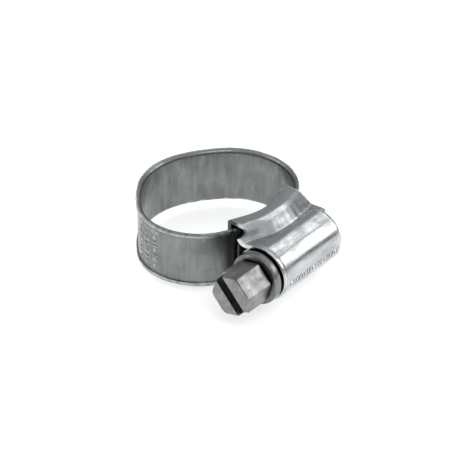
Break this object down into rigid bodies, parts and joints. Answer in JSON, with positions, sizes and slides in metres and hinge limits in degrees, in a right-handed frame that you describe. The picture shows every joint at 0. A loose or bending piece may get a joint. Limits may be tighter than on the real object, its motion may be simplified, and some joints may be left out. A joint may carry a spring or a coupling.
{
  "type": "hose clamp",
  "caption": "Worm-drive hose clamp: a zinc-plated steel strip bent into a loop, a pressed housing and a slotted hex worm screw that draws the strip's tail through.",
  "frame": {"origin": "centre of the clamping circle, half way across the strip's width", "axes": "+Z along the hose, -Y from the clamping circle to the housing, -X towards the screw's hex head"},
  "size_m": [0.0285, 0.0309, 0.0112],
  "materials": {
    "band_steel": "dull zinc plating",
    "housing_steel": "bright zinc plating",
    "screw_steel": "zinc plating"
  },
  "bodies": {
    "clip": {"housing": "housing_steel", "band_loop": "band_steel"},
    "screw": {"worm_screw": "screw_steel"},
    "tail": {"band_tail": "band_steel"}
  },
  "joints": [
    {"name": "screw_turn", "type": "hinge", "parent": "clip", "child": "screw", "pos_m": [0, -0.0157, 0], "axis": [1, 0, 0], "range_deg": [0, 1800]},
    {"name": "tail_feed", "type": "hinge", "parent": "clip", "child": "tail", "pos_m": [0, 0.00565, 0], "axis": [0, 0, 1], "range_deg": [-24, 0], "deforming": ["band_loop"]}
  ],
  "couplings": [
    {"joint": "tail_feed", "follows": "screw_turn", "ratio": -0.0133}
  ]
}
